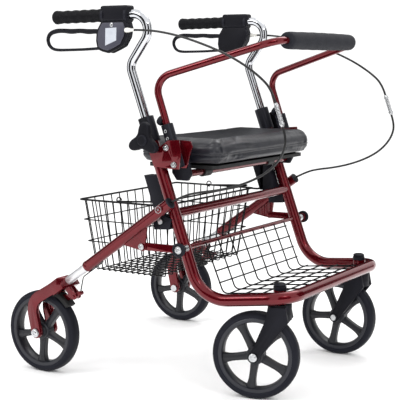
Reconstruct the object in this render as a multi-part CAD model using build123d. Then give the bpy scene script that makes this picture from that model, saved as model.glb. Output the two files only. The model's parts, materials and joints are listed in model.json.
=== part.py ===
"""Four-wheeled folding rollator: bent-tube frame, seat, backrest, wire tray and basket."""
import math
import os

from build123d import *

# ---------------------------------------------------------------- driving sizes, mm and degrees
# x is forward from the rear axle while building; the finished model is shifted to its middle.
wheel_radius = 96.0
wheel_width = 32.0
wheel_hub_radius = 21.0
wheel_rim_depth = 23.0
spoke_count = 5
spoke_width = 15.0
spoke_thickness = 16.0

wheelbase = 575.0            # rear axle to caster stem
frame_half_width = 265.0     # upright axis to centre plane
leg_half_width = 297.0       # rear leg axis to centre plane
caster_half_width = 209.0    # caster stem to centre plane
caster_trail = 51.0
caster_yaw_right = 14.4
caster_yaw_left = 0.5

frame_tube_radius = 13.5
frame_tube_wall = 1.8
upright_lean = 20.0          # from vertical
upright_top = (273.0, 591.0)
bottom_bend_z = 208.5
bottom_bend_radius = 80.0
front_corner = (610.0, 238.0, 231.0)
front_corner_radius = 55.0

handle_radius = 10.0
handle_wall = 1.5
handle_corner = (310.0, 827.0)
handle_knee_z = 715.0
handle_top_radius = 35.0
handle_knee_radius = 30.0
handle_end_x = 24.0
handle_end_z = 822.0
handle_insertion = 150.0
grip_length = 142.0
grip_radius = 15.0

backrest_radius = 8.0
backrest_wall = 1.5
backrest_foot = (351.0, 512.0)
backrest_bend = (291.0, 686.0)
backrest_corner = (560.0, 204.0, 768.0)
backrest_bend_radius = 38.0
backrest_corner_radius = 45.0
pad_radius = 18.0

seat_rear_x = 215.0
seat_front_x = 440.0
seat_half_width = 234.0
seat_bottom_z = 498.0
seat_top_z = 556.0
seat_corner_radius = 26.0
seat_board_thickness = 8.0
seat_board_inset = 22.0
seat_rail_radius = 8.0
seat_rail_x = 352.0
seat_rail_drop = 3.0         # between the rail and the seat board
seat_saddle_wall = 3.6

leg_angle = 35.5             # below the horizontal
leg_radius = 12.5
leg_wall = 2.0
leg_top = (353.0, 421.6)
leg_length = 277.0
leg_pivot_distance = 24.0    # from the top end, along the leg
extension_radius = 10.0
extension_exposed = 66.0
extension_insertion = 90.0

link_pivot = (281.0, 321.0)
link_lock = (377.0, 322.0)
link_width = 17.0
link_thickness = 4.0

basket_rear_x = 42.0
basket_front_x = 277.0
basket_half_width = 210.0
basket_top_z = 400.0
basket_floor_z = 228.0
basket_floor_inset = 21.0
basket_wall = 3.0

tray_rail_z = 322.0
tray_bend = (424.0, 213.0)
tray_half_width = 189.0
tray_wire_radius = 1.7
tray_wire_count = 8
tray_rail_radius = 5.0

cable_radius = 2.5
coupler_radius = 4.5

axle_radius = 5.0
pin_radius = 4.0
running_gap = 0.05           # radial, shaft in its bearing
fixed_gap = 0.2              # between pieces that are clamped or bolted together
moving_gap = 0.4             # between faces that pass one another

# ---------------------------------------------------------------- worked-out places
lean_slope = math.tan(math.radians(upright_lean))
leg_cos = math.cos(math.radians(leg_angle))
leg_sin = math.sin(math.radians(leg_angle))
handle_dir = Vector(-math.sin(math.radians(upright_lean)), 0, math.cos(math.radians(upright_lean)))


def upright_x(z):
    """Forward position of the upright's axis at height z."""
    return upright_top[0] + (upright_top[1] - z) * lean_slope


def leg_point(distance):
    """Point on the leg's axis, so far down from its top end."""
    return (leg_top[0] - distance * leg_cos, leg_top[1] - distance * leg_sin)


def caster_front(yaw):
    """Foremost reach of a front wheel that stands at this yaw."""
    angle = math.radians(yaw)
    reach = (wheel_radius - caster_trail) * math.cos(angle) + wheel_width / 2 * math.sin(angle)
    return wheelbase + reach


total_length = wheel_radius + max(caster_front(caster_yaw_right), caster_front(caster_yaw_left))
origin_shift = wheel_radius - total_length / 2
leg_pivot = leg_point(leg_pivot_distance)
outer_face = frame_half_width + frame_tube_radius
inner_face = frame_half_width - frame_tube_radius
sides = {"right": -1, "left": 1}

os.makedirs("parts", exist_ok=True)


# ---------------------------------------------------------------- helpers
def save(name, *solids):
    """Write one node, moved so that the origin is under the middle of the object."""
    flat = [solid for item in solids for solid in item.solids()]
    shape = flat[0] if len(flat) == 1 else Compound(flat)
    export_step(Pos(origin_shift, 0, 0) * shape, f"parts/{name}.step")
    print(f"{name:22s} {len(flat)} solid(s) {shape.volume:12.0f} mm3")


def on_side(solid, sign):
    """Pieces are drawn on the left side; the right one is the mirror image."""
    return solid if sign > 0 else mirror(solid, about=Plane.XZ)


def both(solid):
    """The left and the right copy of a piece."""
    return solid, mirror(solid, about=Plane.XZ)


def rod(start, end, radius, bore=0.0):
    """Straight round bar or tube between two points."""
    start = Vector(*start)
    end = Vector(*end)
    plane = Plane(origin=start, z_dir=end - start)
    bar = extrude(plane * Circle(radius), (end - start).length)
    if bore > 0:
        bar -= extrude(plane * Circle(bore), (end - start).length)
    return bar


def bent_tube(points, radii, radius, bore=0.0):
    """Round tube along straight runs joined by tangent arcs."""
    path = FilletPolyline(*points, radius=list(radii))
    plane = Plane(origin=path @ 0, z_dir=path % 0)
    tube = sweep(plane * Circle(radius), path=path)
    if bore > 0:
        tube -= sweep(plane * Circle(bore), path=path)
    return tube


def side_plate(points, y_near, y_far):
    """Flat plate with an outline in the side view."""
    outline = make_face(Polyline(*[(x, z) for x, z in points], close=True))
    plane = Plane(origin=(0, y_near, 0), x_dir=(1, 0, 0), z_dir=(0, -1, 0))
    return extrude(plane * outline, -(y_far - y_near))


def cross_pin(x, z, y_near, y_far, radius, bore=0.0):
    """Round bar across the object."""
    return rod((x, y_near, z), (x, y_far, z), radius, bore)


# ---------------------------------------------------------------- frame
socket_radius = 14.0
socket_bottom = front_corner[2] - 18
socket_top = front_corner[2] + 10
stem_radius = 6.0


def frame_path():
    """Both uprights and the front loop are one bent tube."""
    left = [
        (upright_top[0], frame_half_width, upright_top[1]),
        (upright_x(bottom_bend_z), frame_half_width, bottom_bend_z),
        front_corner,
    ]
    right = [(x, -y, z) for x, y, z in reversed(left)]
    return left + right


def stem_socket():
    """Upright sleeve that is welded to the inside of the front corner."""
    return rod((wheelbase, caster_half_width, socket_bottom), (wheelbase, caster_half_width, socket_top),
               socket_radius)


bends = [bottom_bend_radius, front_corner_radius, front_corner_radius, bottom_bend_radius]
front_frame = bent_tube(frame_path(), bends, frame_tube_radius)
for socket in both(stem_socket()):
    front_frame += socket
front_frame -= bent_tube(frame_path(), bends, frame_tube_radius - frame_tube_wall)
for sign in (1, -1):
    stem_hole_low = (wheelbase, sign * caster_half_width, socket_bottom - 1)
    stem_hole_high = (wheelbase, sign * caster_half_width, socket_top + 1)
    front_frame += rod((wheelbase, sign * caster_half_width, socket_bottom),
                       (wheelbase, sign * caster_half_width, socket_top), stem_radius + 3)
    front_frame -= rod(stem_hole_low, stem_hole_high, stem_radius + running_gap)
    lock_hole = cross_pin(link_lock[0], link_lock[1], sign * (frame_half_width + 5),
                          sign * (outer_face + 1), pin_radius + fixed_gap)
    front_frame -= lock_hole
save("front_frame", front_frame)

cross_tube_z = 395.0
cross_tube_radius = 10.5
cross_tube_x = upright_x(cross_tube_z)
cross_tube = cross_pin(cross_tube_x, cross_tube_z, -frame_half_width, frame_half_width,
                       cross_tube_radius, cross_tube_radius - frame_tube_wall)
tray_rail_x = upright_x(tray_rail_z)
tray_rail = cross_pin(tray_rail_x, tray_rail_z, -frame_half_width, frame_half_width, tray_rail_radius)
for sign in (1, -1):
    cutter = rod((upright_x(450), sign * frame_half_width, 450),
                 (upright_x(290), sign * frame_half_width, 290), frame_tube_radius + fixed_gap / 4)
    cross_tube -= cutter
    tray_rail -= cutter
save("cross_tubes", cross_tube.solids().sort_by(SortBy.VOLUME)[-1],
     tray_rail.solids().sort_by(SortBy.VOLUME)[-1])

# ---------------------------------------------------------------- tray grid under the seat front
tray_end_x = front_corner[0] - frame_tube_radius - fixed_gap
tray_end_z = front_corner[2] + 2
tray_top = (tray_rail_x + tray_rail_radius + tray_wire_radius + fixed_gap, tray_rail_z + 1)
tray_bend_radius = 14.0
tray_cross_back = 4
tray_cross_floor = 4


def tray_point(share, panel):
    """Point on the grid's back panel or floor, from its first to its last edge."""
    first, last = (tray_top, tray_bend) if panel == "back" else (tray_bend, (tray_end_x, tray_end_z))
    return (first[0] + share * (last[0] - first[0]), first[1] + share * (last[1] - first[1]))


tray_grid = None
for index in range(tray_wire_count):
    y = -tray_half_width + 2 * tray_half_width * index / (tray_wire_count - 1)
    wire = bent_tube([(tray_top[0], y, tray_top[1]), (tray_bend[0], y, tray_bend[1]),
                      (tray_end_x, y, tray_end_z)], [tray_bend_radius], tray_wire_radius)
    tray_grid = wire if tray_grid is None else tray_grid + wire
tray_overhang = 3.0
for panel, count in (("back", tray_cross_back), ("floor", tray_cross_floor)):
    for index in range(count):
        share = (index + 0.5) / count * 0.92 if panel == "back" else 0.12 + index / count * 0.95
        x, z = tray_point(share, panel)
        tray_grid += cross_pin(x, z + tray_wire_radius, -tray_half_width - tray_overhang,
                               tray_half_width + tray_overhang, tray_wire_radius)
save("tray_grid", tray_grid)

# ---------------------------------------------------------------- collars, knobs
collar_radius = 17.5
collar_length = 56.0
collar_cap = 11.0
collar_top = Vector(upright_top[0], frame_half_width, upright_top[1]) + handle_dir * collar_cap
collar_foot = collar_top - handle_dir * collar_length
knob_axis = Vector(collar_top) - handle_dir * 50
knob_stem_radius = 4.0
knob_radius = 40.0
knob_lobe_radius = 8.0
knob_thickness = 13.0
knob_near = frame_half_width + collar_radius + 6

collar = rod(collar_top, collar_foot, collar_radius)
collar += cross_pin(knob_axis.X, knob_axis.Z, frame_half_width, knob_near - moving_gap, 10)
tube_end = Vector(upright_top[0], frame_half_width, upright_top[1])
collar -= rod(tube_end + handle_dir * fixed_gap, collar_foot - handle_dir * 5,
              frame_tube_radius + fixed_gap)
collar -= rod(tube_end, collar_top + handle_dir, handle_radius + running_gap)
collar -= cross_pin(knob_axis.X, knob_axis.Z, frame_half_width + frame_tube_radius - 6, knob_near + 1,
                    knob_stem_radius + running_gap)
save("upright_collars", *both(collar))


def clamp_knob():
    """Three-winged knob on a short stem that presses the collar onto the upright."""
    knob = cross_pin(knob_axis.X, knob_axis.Z, knob_near, knob_near + knob_thickness, 13)
    for turn in (85, 205, 325):
        angle = math.radians(turn)
        tip = (knob_axis.X + (knob_radius - knob_lobe_radius) * math.cos(angle),
               knob_axis.Z + (knob_radius - knob_lobe_radius) * math.sin(angle))
        across = Vector(-math.sin(angle), 0, math.cos(angle))
        web = [(knob_axis.X + across.X * 11, knob_axis.Z + across.Z * 11),
               (tip[0] + across.X * knob_lobe_radius, tip[1] + across.Z * knob_lobe_radius),
               (tip[0] - across.X * knob_lobe_radius, tip[1] - across.Z * knob_lobe_radius),
               (knob_axis.X - across.X * 11, knob_axis.Z - across.Z * 11)]
        knob += side_plate(web, knob_near, knob_near + knob_thickness)
        knob += cross_pin(tip[0], tip[1], knob_near, knob_near + knob_thickness, knob_lobe_radius)
    return knob + cross_pin(knob_axis.X, knob_axis.Z, outer_face + fixed_gap, knob_near + 2,
                            knob_stem_radius)


for side, sign in sides.items():
    save(f"height_knob_{side}", on_side(clamp_knob(), sign))

# ---------------------------------------------------------------- side plates, sockets, seat clamps
plate_thickness = 3.5
plate_outline = [(290, 526), (318, 541), (338, 555), (366, 557), (371, 531), (366, 494), (343, 494),
                 (318, 496), (302, 496)]
inner_plate_outline = [(290, 526), (318, 541), (338, 555), (376, 553), (381, 541), (376, 530),
                       (366, 494), (343, 494), (318, 496), (302, 496)]
plate_bolts = [(334, 539), (354, 503)]
plate_bolt_radius = 3.0
plate_bolt_depth = 5.0
bolt_head_thickness = 4.0
plate_far = outer_face + fixed_gap
plate_near = inner_face - fixed_gap

backrest_slope = (backrest_foot[0] - backrest_bend[0]) / (backrest_bend[1] - backrest_foot[1])
socket_sleeve_radius = 13.3
sleeve_top_z = 588.0
sleeve_foot_z = 496.0


def post_x(z):
    """Forward position of the backrest post's axis at height z."""
    return backrest_foot[0] + (backrest_foot[1] - z) * backrest_slope


clamp_outline = [(328, 531), (362, 531), (374, 480), (366, 466), (338, 466), (326, 482)]
clamp_near = seat_half_width + 4
clamp_far = plate_near - plate_thickness - fixed_gap
seat_rail_z = seat_bottom_z - seat_board_thickness - seat_rail_radius - seat_rail_drop

outer_plate = side_plate(plate_outline, plate_far, plate_far + plate_thickness)
inner_plate = side_plate(inner_plate_outline, plate_near - plate_thickness, plate_near)
sleeve = rod((post_x(sleeve_top_z), frame_half_width, sleeve_top_z),
             (post_x(sleeve_foot_z), frame_half_width, sleeve_foot_z), socket_sleeve_radius)
sleeve -= rod((post_x(sleeve_top_z + 9), frame_half_width, sleeve_top_z + 9),
              (post_x(backrest_foot[1] - 1), frame_half_width, backrest_foot[1] - 1),
              backrest_radius + running_gap)
clamp_block = side_plate(clamp_outline, clamp_near, clamp_far)
clamp_block -= cross_pin(seat_rail_x, seat_rail_z, clamp_near - 1, clamp_far - 2,
                         seat_rail_radius + fixed_gap)
outer_plate_far = plate_far + plate_thickness
for x, z in plate_bolts:
    hole = cross_pin(x, z, plate_far - plate_bolt_depth, outer_plate_far + 1, plate_bolt_radius + fixed_gap)
    outer_plate -= hole
    sleeve -= hole
save("side_plates", *both(outer_plate), *both(inner_plate))
save("backrest_sockets", *both(sleeve))
save("seat_rail_clamps", *both(clamp_block))
rail_half_length = clamp_far - 2 - fixed_gap
save("seat_rail", cross_pin(seat_rail_x, seat_rail_z, -rail_half_length, rail_half_length,
                            seat_rail_radius, seat_rail_radius - 1.5))


def screw(x, z, tip_y, seat_y):
    """Round-headed screw that points to the middle of the object, its head outside seat_y."""
    shank = cross_pin(x, z, tip_y, seat_y + 2, plate_bolt_radius)
    return shank + cross_pin(x, z, seat_y + fixed_gap / 2, seat_y + bolt_head_thickness,
                             plate_bolt_radius * 2)


fasteners = [screw(x, z, plate_far - plate_bolt_depth + fixed_gap, outer_plate_far) for x, z in plate_bolts]

# ---------------------------------------------------------------- basket guides and leg stops
guide_low = 398.0
guide_high = 474.0
guide_depth = 40.0
guide_near = 228.0
guide_far = 259.0
hook_x = 292.0
hook_radius = 3.5


def guide_outline():
    """Block that leans with the upright, just behind it."""
    return [(upright_x(guide_low) - 16 - guide_depth, guide_low - 4), (upright_x(guide_low) - 12, guide_low - 4),
            (upright_x(guide_high) - 12, guide_high), (upright_x(guide_high) - 16 - guide_depth, guide_high)]


guide = side_plate(guide_outline(), guide_near, guide_far)
hook_slot_floor = basket_top_z - hook_radius - moving_gap
guide -= Pos(hook_x, guide_near + 6, (hook_slot_floor + guide_high + 10) / 2) * Box(
    2 * (hook_radius + moving_gap), 14, guide_high + 10 - hook_slot_floor)
guide -= rod((upright_x(500), frame_half_width, 500), (upright_x(350), frame_half_width, 350),
             frame_tube_radius + fixed_gap)
save("basket_guides", *both(guide))

stop_outline = [(300, 358), (340, 361), (346, 384), (318, 392), (298, 374)]
stop_near = frame_half_width - 10
stop_far = outer_face + 1.0
stop_bolt = (318.0, 377.0)
stop = side_plate(stop_outline, stop_near, stop_far)
stop -= rod((upright_x(450), frame_half_width, 450), (upright_x(320), frame_half_width, 320),
            frame_tube_radius + fixed_gap)
stop = stop.solids().sort_by(SortBy.VOLUME)[-1]
stop -= cross_pin(stop_bolt[0], stop_bolt[1], stop_far - 12, stop_far + 1, plate_bolt_radius + fixed_gap)
save("leg_stops", *both(stop))

# ---------------------------------------------------------------- rear legs
leg_y = leg_half_width
pivot_washer_far = leg_y - leg_radius - moving_gap
pivot_bolt_far = leg_y + leg_radius + moving_gap
lock_spacer_far = leg_y - leg_radius - 1.5 * moving_gap


def leg_tube():
    """Rear leg with its gusset and lug for the folding link."""
    foot = leg_point(leg_length)
    leg = rod((leg_top[0], leg_y, leg_top[1]), (foot[0], leg_y, foot[1]), leg_radius)
    plate_a = leg_point(70)
    plate_b = leg_point(170)
    gusset = side_plate([plate_a, plate_b, (link_pivot[0] - 8, link_pivot[1] - 8),
                         (link_pivot[0] + 6, link_pivot[1] - 8)], leg_y - 2, leg_y + 2)
    leg += gusset + cross_pin(link_pivot[0], link_pivot[1], leg_y - 2, leg_y + 2, 10)
    bore_low = leg_point(leg_length + 1)
    bore_high = leg_point(4)
    leg -= rod((bore_high[0], leg_y, bore_high[1]), (bore_low[0], leg_y, bore_low[1]), leg_radius - leg_wall)
    leg -= cross_pin(leg_pivot[0], leg_pivot[1], leg_y - 20, leg_y + 20, axle_radius + running_gap)
    leg -= cross_pin(link_pivot[0], link_pivot[1], leg_y - 20, leg_y + 20, pin_radius + fixed_gap)
    return leg


fasteners.append(screw(stop_bolt[0], stop_bolt[1], stop_far - 11, stop_far))
pivot_pin = cross_pin(leg_pivot[0], leg_pivot[1], frame_half_width + 6, pivot_bolt_far + 1, axle_radius)
pivot_pin += cross_pin(leg_pivot[0], leg_pivot[1], pivot_bolt_far, pivot_bolt_far + 4, 8)
pivot_pin += cross_pin(leg_pivot[0], leg_pivot[1], frame_half_width + 10, pivot_washer_far, 9)
pivot_pin -= rod((upright_x(470), frame_half_width, 470), (upright_x(330), frame_half_width, 330),
                 frame_tube_radius + fixed_gap / 4)
pivot_pin = pivot_pin.solids().sort_by(SortBy.VOLUME)[-1]
lock_spacer = cross_pin(link_lock[0], link_lock[1], frame_half_width + 6, lock_spacer_far, 9,
                        pin_radius + running_gap)
lock_spacer -= rod((upright_x(400), frame_half_width, 400), (upright_x(250), frame_half_width, 250),
                   frame_tube_radius + fixed_gap / 4)
fasteners.append(pivot_pin)
fasteners.append(lock_spacer.solids().sort_by(SortBy.VOLUME)[-1])
save("frame_fasteners", *[copy for item in fasteners for copy in both(item)])

# ---------------------------------------------------------------- folding link and its release knob
link_far = leg_y - 2 - moving_gap
link_near = link_far - link_thickness
link_droop = 0.25            # share of the leg's turn by which the free end of the link drops
hook_turns = (0.0, 0.05, 0.1, 0.16, 0.23, 0.32)


def pin_in_link(turn):
    """Where the lock pin is, as the link sees it, when the leg has folded by this many radians."""
    arm_x = link_pivot[0] - leg_pivot[0]
    arm_z = link_pivot[1] - leg_pivot[1]
    root_x = leg_pivot[0] + arm_x * math.cos(turn) - arm_z * math.sin(turn)
    root_z = leg_pivot[1] + arm_x * math.sin(turn) + arm_z * math.cos(turn)
    away_x = link_lock[0] - root_x
    away_z = link_lock[1] - root_z
    back = link_droop * turn
    return (link_pivot[0] + away_x * math.cos(back) - away_z * math.sin(back),
            link_pivot[1] + away_x * math.sin(back) + away_z * math.cos(back))


def folding_link():
    """Flat bar from the leg's lug to the lock pin, where its hook is open at the back."""
    half = link_width / 2
    bar = side_plate([(link_pivot[0], link_pivot[1] - half), (link_lock[0], link_lock[1] - half),
                      (link_lock[0], link_lock[1] + half), (link_pivot[0], link_pivot[1] + half)],
                     link_near, link_far)
    bar += cross_pin(link_pivot[0], link_pivot[1], link_near, link_far, half)
    bar += cross_pin(link_lock[0], link_lock[1], link_near, link_far, half + 2)
    clearance = pin_radius + moving_gap
    bar -= cross_pin(link_lock[0], link_lock[1], link_near - 1, link_far + 1, clearance)
    places = [pin_in_link(turn) for turn in hook_turns]
    for (x0, z0), (x1, z1) in zip(places, places[1:]):
        run = math.hypot(x1 - x0, z1 - z0)
        side_x = -(z1 - z0) / run * clearance
        side_z = (x1 - x0) / run * clearance
        bar -= side_plate([(x0 + side_x, z0 + side_z), (x1 + side_x, z1 + side_z),
                           (x1 - side_x, z1 - side_z), (x0 - side_x, z0 - side_z)],
                          link_near - 1, link_far + 1)
        bar -= cross_pin(x1, z1, link_near - 1, link_far + 1, clearance)
    rivet = cross_pin(link_pivot[0], link_pivot[1], link_near - 3, leg_y + 2 + moving_gap + 3, pin_radius)
    rivet += cross_pin(link_pivot[0], link_pivot[1], leg_y + 2 + moving_gap, leg_y + 2 + moving_gap + 3, 7)
    return bar.solids().sort_by(SortBy.VOLUME)[-1] + rivet


def release_knob():
    """Sprung pull knob whose pin holds the link's hook."""
    pin = cross_pin(link_lock[0], link_lock[1], frame_half_width + 8, link_far + 4, pin_radius)
    ring = cross_pin(link_lock[0], link_lock[1], link_far + moving_gap, link_far + moving_gap + 8, 13.5)
    return pin + ring


# ---------------------------------------------------------------- leg extension, fork, brake
fork_arm_gap = 6.0
fork_arm_thickness = 10.0
arm_near = wheel_width / 2 + fork_arm_gap
arm_far = arm_near + fork_arm_thickness
crown_top = leg_point(leg_length + extension_exposed)
crown_length = 34.0
crown_half_height = 14.0
crown_end = leg_point(leg_length + extension_exposed + crown_length)
arm_bend = (-16.0, 168.0)
arm_bend_radius = 42.0
arm_half_width = 13.0
brake_pivot = (crown_top[0] + 21.0, crown_top[1] - 33.0)
brake_pin_radius = 3.0
brake_lug_radius = 8.0
brake_arm_half = 5.0
shoe_gap = 3.0
shoe_thickness = 10.0
shoe_angle = 52.5            # position over the tyre, from the forward horizontal


def leg_extension():
    """Inner tube between the leg and the fork."""
    low = leg_point(leg_length + extension_exposed - fixed_gap)
    high = leg_point(leg_length - extension_insertion)
    return rod((high[0], leg_y, high[1]), (low[0], leg_y, low[1]), extension_radius, extension_radius - 1.8)


def rear_fork():
    """Crown with an arm on each side of the wheel."""
    along = (-leg_cos, -leg_sin)
    across = (-leg_sin, leg_cos)
    corners = []
    for distance, height in ((0, 1), (crown_length, 1), (crown_length, -1), (0, -1)):
        corners.append((crown_top[0] + along[0] * distance + across[0] * height * crown_half_height,
                        crown_top[1] + along[1] * distance + across[1] * height * crown_half_height))
    fork = side_plate(corners, leg_y - arm_far, leg_y + arm_far)
    path = FilletPolyline((crown_end[0] + 14, 0, crown_end[1] + 10), (arm_bend[0], 0, arm_bend[1]),
                          (0, 0, wheel_radius), radius=[arm_bend_radius])
    for offset in (-1, 1):
        section = Plane(origin=path @ 0, x_dir=(0, 1, 0), z_dir=path % 0)
        arm = sweep(section * Rectangle(fork_arm_thickness, 2 * arm_half_width), path=path)
        arm += cross_pin(0, wheel_radius, -fork_arm_thickness / 2, fork_arm_thickness / 2, arm_half_width)
        fork += Pos(0, leg_y + offset * (arm_near + fork_arm_thickness / 2), 0) * arm
    fork += brake_lugs()
    fork -= cross_pin(0, wheel_radius, leg_y - 60, leg_y + 60, axle_radius + fixed_gap)
    fork -= cross_pin(brake_pivot[0], brake_pivot[1], leg_y - 30, leg_y + 30, brake_pin_radius + running_gap)
    fork -= cross_pin(0, wheel_radius, leg_y - arm_near, leg_y + arm_near, wheel_radius + 3)
    return fork


def brake_lugs():
    """Two ears below the crown that hold the brake's pin."""
    px, pz = brake_pivot
    lugs = None
    for near in (leg_y - brake_arm_half - moving_gap - 4, leg_y + brake_arm_half + moving_gap):
        lug = side_plate([(px - 6, pz - 5), (px - 28, pz + 16), (px - 17, pz + 25), (px + 6, pz + 5)],
                         near, near + 4)
        lug += cross_pin(px, pz, near, near + 4, brake_lug_radius)
        lugs = lug if lugs is None else lugs + lug
    return lugs


def brake_arm():
    """Lever on the crown's ears: the wire pulls its front end and its foot presses the shoe."""
    px, pz = brake_pivot
    shoe_back = wheel_radius + shoe_gap + shoe_thickness + 3 * fixed_gap
    foot = []
    for turn in (shoe_angle - 5, shoe_angle + 5):
        angle = math.radians(turn)
        foot.append((shoe_back * math.cos(angle), wheel_radius + shoe_back * math.sin(angle)))
    outline = [(px - 5, pz - 6), *foot, (px - 6, pz + 5), (px + 13, pz + 12), (px + 16, pz + 4)]
    arm = side_plate(outline[::-1], leg_y - brake_arm_half, leg_y + brake_arm_half)
    arm += cross_pin(px, pz, leg_y - brake_arm_half, leg_y + brake_arm_half, 7)
    arm += cross_pin(px + 14, pz + 8, leg_y - brake_arm_half, leg_y + brake_arm_half, 5)
    return arm + cross_pin(px, pz, leg_y - brake_arm_half - 6, leg_y + brake_arm_half + 6, brake_pin_radius)


def brake_shoe():
    """Curved block that lies over the tyre."""
    inner = wheel_radius + shoe_gap
    outer = inner + shoe_thickness
    ring = cross_pin(0, wheel_radius, leg_y - 14, leg_y + 14, outer)
    ring -= cross_pin(0, wheel_radius, leg_y - 15, leg_y + 15, inner)
    wedge = side_plate([(0, wheel_radius),
                        (200 * math.cos(math.radians(shoe_angle - 12)),
                         wheel_radius + 200 * math.sin(math.radians(shoe_angle - 12))),
                        (200 * math.cos(math.radians(shoe_angle + 12)),
                         wheel_radius + 200 * math.sin(math.radians(shoe_angle + 12)))],
                       leg_y - 20, leg_y + 20)
    return ring & wedge


# ---------------------------------------------------------------- wheels and casters
def wheel():
    """Spoked wheel about the Y axis through the origin."""
    tyre = cross_pin(0, 0, -wheel_width / 2, wheel_width / 2, wheel_radius, wheel_radius - wheel_rim_depth)
    tyre = fillet(tyre.edges().filter_by(GeomType.CIRCLE).sort_by(SortBy.RADIUS)[-2:], 7)
    body = tyre + cross_pin(0, 0, -wheel_width / 2, wheel_width / 2, wheel_hub_radius)
    length = wheel_radius - wheel_rim_depth - wheel_hub_radius + 6
    for index in range(spoke_count):
        spoke = Pos(wheel_hub_radius - 3 + length / 2, 0, 0) * Box(length, spoke_thickness, spoke_width)
        body += Rot(0, index * 360 / spoke_count, 0) * spoke
    return body - cross_pin(0, 0, -wheel_width, wheel_width, axle_radius + running_gap)


def axle(half_length, head_radius):
    """Bolt through a wheel with a cap on each end."""
    bolt = cross_pin(0, 0, -half_length, half_length, axle_radius)
    for end in (-1, 1):
        bolt += cross_pin(0, 0, end * half_length, end * (half_length + 5), head_radius)
    return bolt


caster_head_top = socket_bottom - 1.0
caster_head_bottom = caster_head_top - 34
caster_arm_gap = 4.0
caster_arm_thickness = 8.0
caster_arm_near = wheel_width / 2 + caster_arm_gap
caster_arm_far = caster_arm_near + caster_arm_thickness
caster_head_radius = 26.0
cap_radius = 14.0
cap_height = 16.0


def caster_fork():
    """Fork with its stem at x = 0, y = 0 and its axle behind, at z = wheel radius."""
    head = Pos(0, 0, caster_head_bottom) * extrude(Circle(caster_head_radius), caster_head_top - caster_head_bottom)
    outline = [(18, caster_head_top - 4), (24, caster_head_bottom), (-caster_trail + 11, wheel_radius - 4),
               (-caster_trail - 11, wheel_radius - 4), (-24, caster_head_bottom + 4), (-20, caster_head_top - 4)]
    for near in (-caster_arm_far, caster_arm_near):
        arm = side_plate(outline, near, near + caster_arm_thickness)
        arm += cross_pin(-caster_trail, wheel_radius, near, near + caster_arm_thickness, 12)
        head += arm
    head -= cross_pin(-caster_trail, wheel_radius, -60, 60, axle_radius + fixed_gap)
    head -= cross_pin(-caster_trail, wheel_radius, -caster_arm_near, caster_arm_near, wheel_radius + 4)
    head -= Pos(0, 0, caster_head_bottom - 1) * extrude(Circle(stem_radius + fixed_gap), 60)
    return head


def caster_stem():
    """Stem that is pressed in the fork and turns in the frame's socket, with its cap on top."""
    stem = Pos(0, 0, caster_head_bottom + 4) * extrude(Circle(stem_radius), socket_top - caster_head_bottom)
    cap = Pos(0, 0, socket_top + moving_gap) * extrude(Circle(cap_radius), cap_height)
    return stem + fillet(cap.faces().sort_by(Axis.Z)[-1].edges(), 5)


def place_caster(solid, sign, yaw):
    """Turn a caster piece about its stem and move it to its corner."""
    return Pos(wheelbase, sign * caster_half_width, 0) * Rot(0, 0, yaw) * solid


for side, sign in sides.items():
    save(f"rear_leg_{side}", on_side(leg_tube(), sign))
    save(f"leg_extension_{side}", on_side(leg_extension(), sign))
    save(f"rear_fork_{side}", on_side(rear_fork(), sign))
    save(f"fold_link_{side}", on_side(folding_link(), sign))
    save(f"release_knob_{side}", on_side(release_knob(), sign))
    save(f"brake_arm_{side}", on_side(brake_arm(), sign))
    save(f"brake_shoe_{side}", on_side(brake_shoe(), sign))
    save(f"rear_axle_{side}", Pos(0, sign * leg_y, wheel_radius) * axle(arm_far + fixed_gap, 9))
    save(f"rear_wheel_{side}", Pos(0, sign * leg_y, wheel_radius) * wheel())
    yaw = caster_yaw_right if sign < 0 else caster_yaw_left
    save(f"caster_fork_{side}", place_caster(caster_fork(), sign, yaw))
    save(f"caster_stem_{side}", place_caster(caster_stem(), sign, yaw))
    at_axle = Pos(-caster_trail, 0, wheel_radius)
    save(f"caster_axle_{side}", place_caster(at_axle * axle(caster_arm_far + fixed_gap, 7), sign, yaw))
    save(f"caster_wheel_{side}", place_caster(at_axle * wheel(), sign, yaw))

# ---------------------------------------------------------------- handles
cable_exit = (240.0, frame_half_width + 13.0, 791.0)
housing_x = (grip_length + handle_end_x - 5 + 4, 232.0)
housing_half_width = 13.0
lever_pivot = (190.0, 783.0)
lever_rod_radius = 4.0
lever_plate_half = 4.0


def handle_path():
    """Grip, top bend, knee and the stretch that slides in the upright."""
    inserted = Vector(upright_top[0], frame_half_width, upright_top[1]) - handle_dir * handle_insertion
    return [(handle_end_x, frame_half_width, handle_end_z), (handle_corner[0], frame_half_width, handle_corner[1]),
            (upright_x(handle_knee_z), frame_half_width, handle_knee_z), tuple(inserted)]


def handle_tube():
    bends = [handle_top_radius, handle_knee_radius]
    return bent_tube(handle_path(), bends, handle_radius, handle_radius - handle_wall)


def grip():
    """Rubber grip with a closed end."""
    run = Vector(*handle_path()[1]) - Vector(*handle_path()[0])
    start = Vector(*handle_path()[0]) - run.normalized() * 5
    sleeve = rod(tuple(start), tuple(start + run.normalized() * grip_length), grip_radius)
    return sleeve - rod(tuple(start + run.normalized() * (5 - fixed_gap)),
                        tuple(start + run.normalized() * (grip_length + 1)), handle_radius + fixed_gap)


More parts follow.
